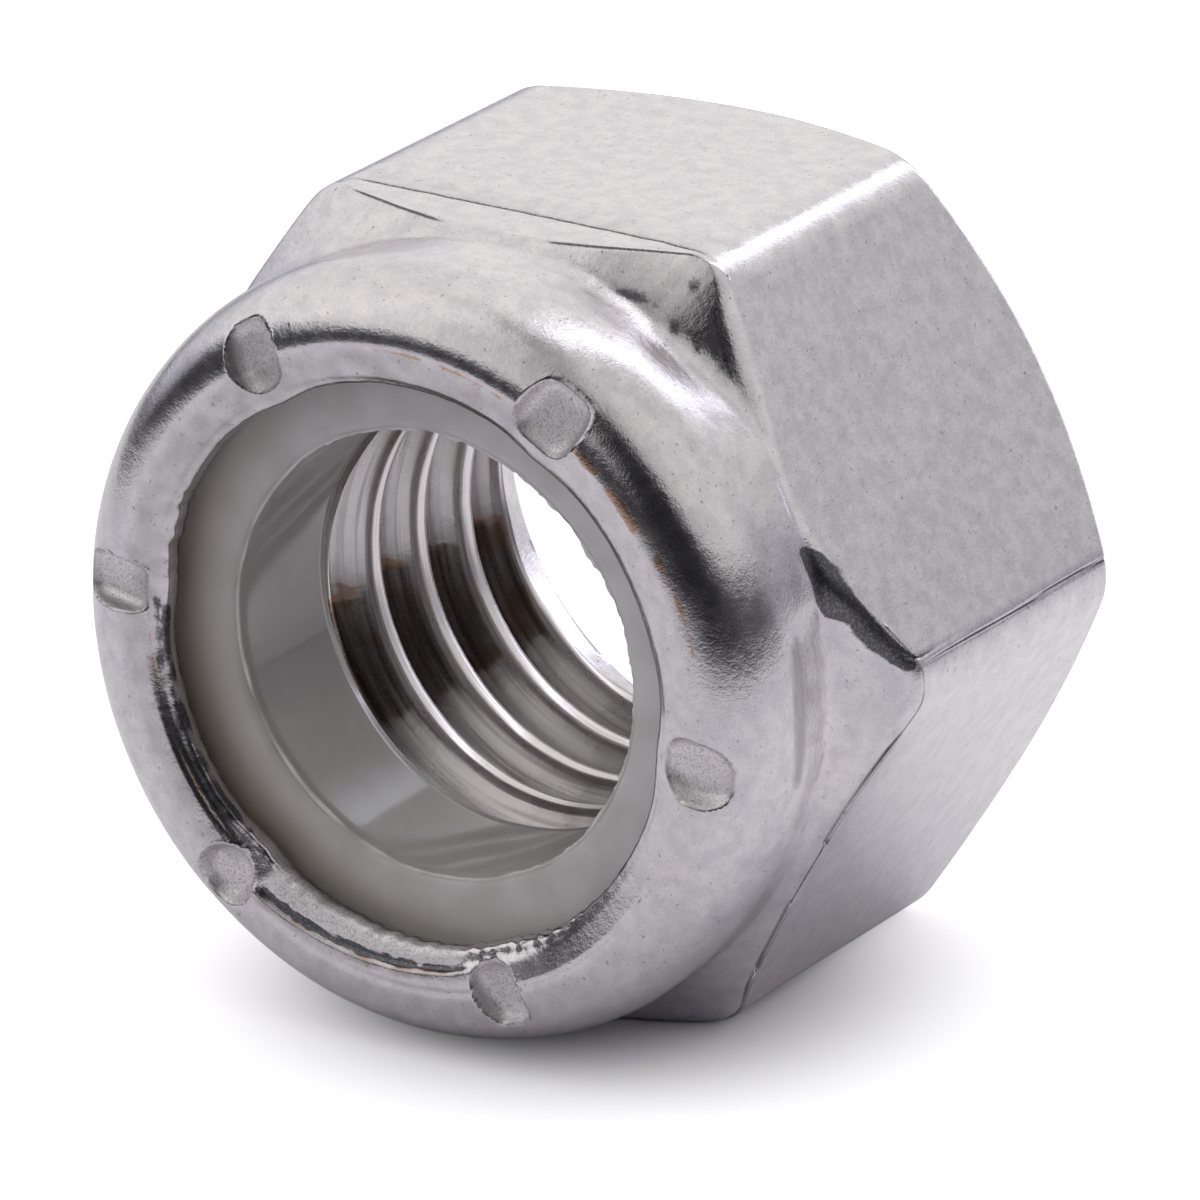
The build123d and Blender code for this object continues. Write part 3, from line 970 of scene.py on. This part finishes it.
def nylon_mesh():
    """Nylon ring as one closed mesh, with a thin torn flash line round its bore."""
    angles = np.arange(NYLON_COLUMNS) * 360 / NYLON_COLUMNS
    radius, height = (np.array(values)[:, None] * np.ones_like(angles)
                      for values in zip(*nylon_outline()))
    places = place_of(radius, height, angles)
    flat_places = places * (1, 0, 1)
    free = height < NYLON_FREE_HEIGHT
    near_bore = free * bell(radius - NYLON_BORE_RADIUS, 0.5)
    wave = NYLON_WAVE * noise_field(places * (1, 0.5, 1), "nylon")
    torn = np.clip(0.7 + 0.9 * noise_field(flat_places, "flash tear"), 0.15, 1.3)
    wander = FLASH_WANDER * noise_field(flat_places, "flash wander")
    flash = bell(height - (NYLON_FACE_HEIGHT - FLASH_DROP) - wander, FLASH_WIDTH)
    flash = free * flash * (radius < NYLON_BORE_RADIUS + 0.2) * torn
    size = FLASH_SIZE * flash * (1 + FLASH_TEAR * noise_field(places, "flash fine"))
    radius = radius + near_bore * wave - size
    height = height + size
    places = place_of(radius, height, angles)
    # painted warm shade on the ring's left side, stronger towards the lip, kept in the tan mark
    left = bell(turn_between(angles, NYLON_SHADE_ANGLE), NYLON_SHADE_WIDTH)[None, :]
    brown = free * left * (0.35 + 0.65 * smooth_step(radius, 5.7, 6.7))
    in_bore = radius < NYLON_BORE_RADIUS + 0.12

    parts = MeshParts()
    rings = parts.grid(places, {"pale": np.clip(flash, 0, 1), "tan": brown, "bore": in_bore})
    parts.strip(rings[-1], rings[0])
    return parts.build("nylon_ring")


def fresh_tree(owner):
    """Empty node tree of a material or a world."""
    owner.use_nodes = True
    owner.node_tree.nodes.clear()
    return owner.node_tree


def node(tree, kind, inputs=None, **settings):
    """Add a node, set its properties and set or link its inputs by name or number."""
    added = tree.nodes.new("ShaderNode" + kind)
    for name, setting in settings.items():
        setattr(added, name, setting)
    for name, given in (inputs or {}).items():
        if isinstance(given, bpy.types.NodeSocket):
            tree.links.new(given, added.inputs[name])
        else:
            added.inputs[name].default_value = given
    return added


def value(tree, kind, inputs=None, **settings):
    """First output of a new node."""
    return node(tree, kind, inputs, **settings).outputs[0]


def math(tree, operation, first, second=0.0):
    """Result of one math node."""
    return value(tree, "Math", {0: first, 1: second}, operation=operation)


def ramp(tree, raw, start, end, low=0.0, high=1.0):
    """Smooth rise from low to high, as a raw value goes from start to end."""
    inputs = {"Value": raw, "From Min": start, "From Max": end, "To Min": low, "To Max": high}
    return value(tree, "MapRange", inputs, interpolation_type="SMOOTHSTEP")


def mixed(tree, share, first, second):
    """Colour mixed from two by a share."""
    added = node(tree, "Mix", {0: share, 6: first, 7: second}, data_type="RGBA")
    return added.outputs[2]


def grain(tree, place, size, detail=2.0, roughness=0.5):
    """Noise from 0 to 1 with features of a size in millimetres."""
    inputs = {"Vector": place, "Scale": 1 / (size * MM), "Detail": detail, "Roughness": roughness}
    return value(tree, "TexNoise", inputs)


def object_place(tree):
    """Place on the object."""
    return node(tree, "TexCoord").outputs["Object"]


def times(tree, first, second):
    """Product of two values."""
    return math(tree, "MULTIPLY", first, second)


def mark(tree, name):
    """Value of one of the mesh's own marks."""
    return node(tree, "Attribute", attribute_name=name).outputs["Fac"]


def thread_lines(tree, place):
    """Noise from 0 to 1 drawn out along the thread's helix."""
    split = node(tree, "SeparateXYZ", {0: place})
    up = math(tree, "SUBTRACT", AXIS_PLACE[2], split.outputs[2])
    turn = math(tree, "ARCTAN2", up, times(tree, split.outputs[0], -1.0))
    lead = times(tree, turn, THREAD_PITCH * MM / (2 * np.pi))
    phase = math(tree, "ADD", split.outputs[1], lead)
    across = times(tree, phase, 1 / (LINE_WIDTH * MM))
    vector = value(tree, "CombineXYZ", {0: across, 1: turn, 2: 0.0})
    inputs = {"Vector": vector, "Scale": 1.0, "Detail": 2.0, "Roughness": 0.6}
    return value(tree, "TexNoise", inputs)


def ragged(tree, soft, edge):
    """Sharpen a mark's soft edge into a ragged one."""
    shift = times(tree, math(tree, "SUBTRACT", edge, 0.5), RAGGED_SHARE)
    return ramp(tree, math(tree, "ADD", soft, shift), *RAGGED_RANGE)


def scratches(tree, place):
    """Fine straight scratches, from 0 to 1."""
    inputs = {"Vector": place, "Axis": SCRATCH_AXIS, "Angle": SCRATCH_TURN}
    turned = value(tree, "VectorRotate", inputs)
    scale = tuple(1 / (size * MM) for size in SCRATCH_SIZE)
    drawn = node(tree, "VectorMath", {0: turned, 1: scale}, operation="MULTIPLY")
    inputs = {"Vector": drawn.outputs[0], "Scale": 1.0, "Detail": 1.0}
    return ramp(tree, value(tree, "TexNoise", inputs), *SCRATCH_RANGE)


def steel_colour(tree, place, speckle, lines, bore, pale, tan, grime):
    """Colour of the steel: mottling, scratches, pits, thread lines, stains and dirt, and painted
    shade and dark reflections.
    """
    mottle = grain(tree, place, MOTTLE_SIZE, 4.0, 0.65)
    colour = mixed(tree, ramp(tree, mottle, *MOTTLE_RANGE), STEEL_DARK, STEEL_LIGHT)
    pits = ramp(tree, grain(tree, place, PIT_SIZE, 3.0, 0.6), *PIT_RANGE)
    layers = (
        (times(tree, pale, PALE_SHARE), STEEL_PALE),
        (times(tree, scratches(tree, place), SCRATCH_SHARE), STEEL_PALE),
        (times(tree, pits, math(tree, "SUBTRACT", 1.0, bore)), STEEL_PIT),
        (ramp(tree, speckle, *SPECKLE_RANGE), STEEL_PIT),
        (times(tree, ramp(tree, speckle, *WORN_RANGE), pale), STEEL_DULL_AND_SHADE),
        (times(tree, ramp(tree, lines, *LINE_RANGE), bore), THREAD_LINE),
    )
    for share, layer in layers:
        colour = mixed(tree, share, colour, layer)
    colour = mixed(tree, bore, colour, mixed(tree, lines, STEEL_BORE, colour))
    # dull and grime marks: worn steel and dirt, and also painted shade and painted dark
    # reflections
    colour = mixed(tree, mark(tree, "dull_and_shade"), colour, STEEL_DULL_AND_SHADE)
    colour = mixed(tree, times(tree, tan, TAN_SHARE), colour, TAN)
    grained = times(tree, ramp(tree, speckle, *DIRT_AND_SHADE_RANGE), grime)
    return mixed(tree, grained, colour, mixed(tree, bore, GRIME_AND_SHADE, THREAD_GRIME))


def steel_relief(tree, place, speckle, mottle, lines, bore):
    """Height in metres of the steel's grain, mottling, small dents and thread lines."""
    lost = times(tree, bore, GRAIN_LOST_IN_BORE * GRAIN_HEIGHT * MM)
    fine = times(tree, speckle, math(tree, "SUBTRACT", GRAIN_HEIGHT * MM, lost))
    scored = times(tree, lines, times(tree, bore, LINE_HEIGHT * MM))
    relief = math(tree, "ADD", fine, scored)
    relief = math(tree, "ADD", relief, times(tree, mottle, MOTTLE_HEIGHT * MM))
    lost = times(tree, bore, HAMMER_HEIGHT * MM)
    height = math(tree, "SUBTRACT", HAMMER_HEIGHT * MM, lost)
    hammered = times(tree, grain(tree, place, HAMMER_SIZE, 1.0), height)
    return math(tree, "ADD", relief, hammered)


def surface(tree, relief, inputs):
    """Finish a material with a principled shader over a relief."""
    bumped = node(tree, "Bump", {"Height": relief, "Distance": 1.0, "Strength": 1.0})
    inputs = {"Normal": bumped.outputs[0], **inputs}
    shader = node(tree, "BsdfPrincipled", inputs)
    node(tree, "OutputMaterial", {0: shader.outputs[0]})


def steel_material():
    """Tumbled stainless steel: fine grain, soft mottling, brown dirt in the creases, and painted
    shade and dark reflections.
    """
    material = bpy.data.materials.new("tumbled_steel")
    tree = fresh_tree(material)
    place = object_place(tree)
    speckle = grain(tree, place, GRAIN_SIZE, 2.0, 0.6)
    mottle = grain(tree, place, MOTTLE_SIZE, 3.0, 0.6)
    lines = thread_lines(tree, place)
    bore = mark(tree, "bore")
    pale = mark(tree, "pale")
    edge = grain(tree, place, RAGGED_SIZE, 2.0, 0.6)
    edge = value(tree, "Mix", {0: bore, 2: edge, 3: lines})
    grime = ragged(tree, mark(tree, "grime"), edge)
    tan = ragged(tree, mark(tree, "tan"), edge)
    colour = steel_colour(tree, place, speckle, lines, bore, pale, tan, grime)
    rough = ramp(tree, mottle, 0.3, 0.7, *STEEL_ROUGHNESS)
    added = ((grime, GRIME_AND_SHADE_ROUGHNESS), (pale, STAKE_ROUGHNESS), (bore, BORE_ROUGHNESS))
    for share, extra in added:
        rough = math(tree, "ADD", rough, times(tree, share, extra))
    relief = steel_relief(tree, place, speckle, mottle, lines, bore)
    surface(tree, relief, {"Base Color": colour, "Metallic": 1.0, "Roughness": rough})
    return material


def nylon_material():
    """Milky nylon, matte on its face and glossy in its bore, with painted warm shade towards the
    lip and painted shade in its bore.
    """
    material = bpy.data.materials.new("natural_nylon")
    tree = fresh_tree(material)
    place = object_place(tree)
    bore = mark(tree, "bore")
    cloud = grain(tree, place, NYLON_CLOUD_SIZE, 2.0)
    colour = mixed(tree, ramp(tree, cloud, 0.3, 0.7), NYLON_DARK, NYLON_LIGHT)
    # painted warm shade from the tan mark, and painted shade in the bore
    colour = mixed(tree, mark(tree, "tan"), colour, NYLON_SHADE)
    colour = mixed(tree, times(tree, bore, NYLON_BORE_SHADE_SHARE), colour, NYLON_BORE_SHADE)
    colour = mixed(tree, mark(tree, "pale"), colour, NYLON_EDGE)
    rough = ramp(tree, bore, 0.0, 1.0, *NYLON_ROUGHNESS)
    relief = times(tree, grain(tree, place, NYLON_GRAIN_SIZE, 1.0), NYLON_GRAIN * MM)
    surface(tree, relief, {
        "Base Color": colour, "Roughness": rough, "IOR": 1.53, "Subsurface Weight": 0.3,
        "Subsurface Scale": 0.5 * MM, "Subsurface Radius": (1.0, 0.9, 0.8)})
    return material


def from_place(tree, place, centre, reach):
    """Distance from a centre on the floor, as a share of the reach along X and Y."""
    split = node(tree, "SeparateXYZ", {0: place})
    inputs = {2: 0.0}
    for index in (0, 1):
        offset = math(tree, "SUBTRACT", split.outputs[index], centre[index] * MM)
        inputs[index] = math(tree, "DIVIDE", offset, reach[index] * MM)
    vector = value(tree, "CombineXYZ", inputs)
    return node(tree, "VectorMath", {0: vector}, operation="LENGTH").outputs["Value"]


def floor_material():
    """White sheet on a darker table, with a glow that fades out under the object as a painted
    shadow, and a painted pool of light in mirrors.
    """
    material = bpy.data.materials.new("white_floor")
    tree = fresh_tree(material)
    place = object_place(tree)
    path = node(tree, "LightPath").outputs
    mirrored = math(tree, "MAXIMUM", path["Is Glossy Ray"], path["Is Transmission Ray"])
    sheet = ramp(tree, from_place(tree, place, SHEET_CENTRE, SHEET_REACH), *SHEET_EDGE, 1.0, 0.0)
    # painted shadow: the glow fades out round the object, wider as mirrors see it
    distance = from_place(tree, place, SHADOW_CENTRE, SHADOW_REACH)
    seen = times(tree, path["Is Camera Ray"], ramp(tree, distance, *SHADOW_EDGE))
    clear = ramp(tree, distance, *MIRRORED_SHADOW_EDGE, 0.0, FLOOR_MIRRORED)
    # painted pool of light: mirrors see the glow weaker beyond its reach
    distance = from_place(tree, place, GLOW_CENTRE, GLOW_REACH)
    clear = times(tree, clear, ramp(tree, distance, *GLOW_EDGE, 1.0, GLOW_FAR))
    seen = math(tree, "ADD", seen, times(tree, mirrored, clear))
    lift = times(tree, times(tree, seen, FLOOR_LIFT), sheet)
    colour = mixed(tree, sheet, TABLE_COLOUR, FLOOR_COLOUR)
    matte = node(tree, "BsdfDiffuse", {"Color": colour})
    glow = node(tree, "Emission", {"Color": FLOOR_GLOW, "Strength": lift})
    both = node(tree, "AddShader", {0: matte.outputs[0], 1: glow.outputs[0]})
    node(tree, "OutputMaterial", {0: both.outputs[0]})
    return material


def skyline(tree, share):
    """Colour ramp round the horizon that holds the skyline's height, levels and softness."""
    plan = node(tree, "ValToRGB", {0: share})
    plan.color_ramp.interpolation = "EASE"
    stops = plan.color_ramp.elements
    for index, (turn, top, low_level, high_level, softness) in enumerate(SURROUNDINGS):
        place = turn / 360 + 0.5
        stop = stops[0] if index == 0 else stops.new(place)
        stop.position = place
        stop.color = (top / 90, low_level / LIGHT_SCALE, high_level / LIGHT_SCALE, softness / 90)
    stops.remove(stops[-1])
    return plan


def surroundings():
    """World of a white studio, darker along the horizon and behind the camera."""
    world = bpy.data.worlds.new("studio")
    bpy.context.scene.world = world
    tree = fresh_tree(world)
    direction = node(tree, "TexCoord").outputs["Generated"]
    split = node(tree, "SeparateXYZ", {0: direction})
    azimuth = math(tree, "ARCTAN2", split.outputs[0], times(tree, split.outputs[1], -1.0))
    share = math(tree, "MULTIPLY_ADD", azimuth, 1 / (2 * np.pi))
    share.node.inputs[2].default_value = 0.5
    elevation = times(tree, math(tree, "ARCSINE", split.outputs[2]), 2 / np.pi)

    plan = skyline(tree, share)
    levels = node(tree, "SeparateColor", {0: plan.outputs[0]}).outputs
    above = math(tree, "SUBTRACT", elevation, levels[0])
    softness = plan.outputs["Alpha"]
    sky = ramp(tree, above, times(tree, softness, -1.0), softness)
    zenith = ramp(tree, elevation, *(turn / 90 for turn in ZENITH_EDGE))
    low = times(tree, levels[1], LIGHT_SCALE)
    high = times(tree, levels[2], LIGHT_SCALE)
    high = value(tree, "Mix", {0: zenith, 2: high, 3: ZENITH_LEVEL})
    level = value(tree, "Mix", {0: sky, 2: low, 3: high})
    tint = mixed(tree, sky, SKYLINE_COLOUR, SKY_COLOUR)
    light = node(tree, "Background", {"Color": tint, "Strength": level})
    node(tree, "OutputWorld", {0: light.outputs[0]})


def look_at_camera():
    """Camera at the picture's place, turned a little about its own axis."""
    azimuth = np.radians(CAMERA_AZIMUTH)
    elevation = np.radians(CAMERA_ELEVATION)
    towards = Vector((
        np.sin(azimuth) * np.cos(elevation),
        -np.cos(azimuth) * np.cos(elevation),
        np.sin(elevation),
    ))
    camera_data = bpy.data.cameras.new("camera")
    camera_data.lens = CAMERA_LENS
    camera_data.sensor_width = CAMERA_SENSOR
    camera_data.clip_start = 0.01
    camera_data.clip_end = 10
    camera = bpy.data.objects.new("camera", camera_data)
    bpy.context.scene.collection.objects.link(camera)
    turned = towards.to_track_quat("Z", "Y").to_matrix()
    roll = Matrix.Rotation(np.radians(CAMERA_ROLL), 3, "Z")
    camera.matrix_world = (
        Matrix.Translation((Vector(CAMERA_AIM) + towards * CAMERA_DISTANCE) * MM)
        @ (turned @ roll).to_4x4()
    )
    bpy.context.scene.camera = camera


def studio():
    """White floor under the object."""
    mesh = bpy.data.meshes.new("floor")
    half = FLOOR_SIZE * MM
    corners = [(-half, -half, 0), (half, -half, 0), (half, half, 0), (-half, half, 0)]
    mesh.from_pydata(corners, [], [(0, 1, 2, 3)])
    floor = bpy.data.objects.new("floor", mesh)
    bpy.context.scene.collection.objects.link(floor)
    floor.data.materials.append(floor_material())


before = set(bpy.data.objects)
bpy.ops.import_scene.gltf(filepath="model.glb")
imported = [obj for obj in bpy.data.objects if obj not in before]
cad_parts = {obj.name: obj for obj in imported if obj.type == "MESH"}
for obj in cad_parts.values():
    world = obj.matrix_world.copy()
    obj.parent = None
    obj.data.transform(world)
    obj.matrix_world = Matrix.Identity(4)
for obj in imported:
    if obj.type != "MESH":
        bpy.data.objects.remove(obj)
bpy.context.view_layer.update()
body_low, body_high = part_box("nut_body")
BOX_LOW = np.array(body_low)
BOX_HIGH = np.array(body_high)
AXIS_PLACE = np.array((
    (BOX_LOW[0] + BOX_HIGH[0]) / 2, BOX_HIGH[1], (BOX_LOW[2] + BOX_HIGH[2]) / 2
))

nut = nut_mesh()
nut.data.materials.append(steel_material())
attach(nut, "root")
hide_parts("nut_body")

ring = nylon_mesh()
ring.data.materials.append(nylon_material())
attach(ring, "root")
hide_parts("nylon_insert")

studio()
surroundings()
look_at_camera()
bpy.context.scene.view_settings.view_transform = "Standard"
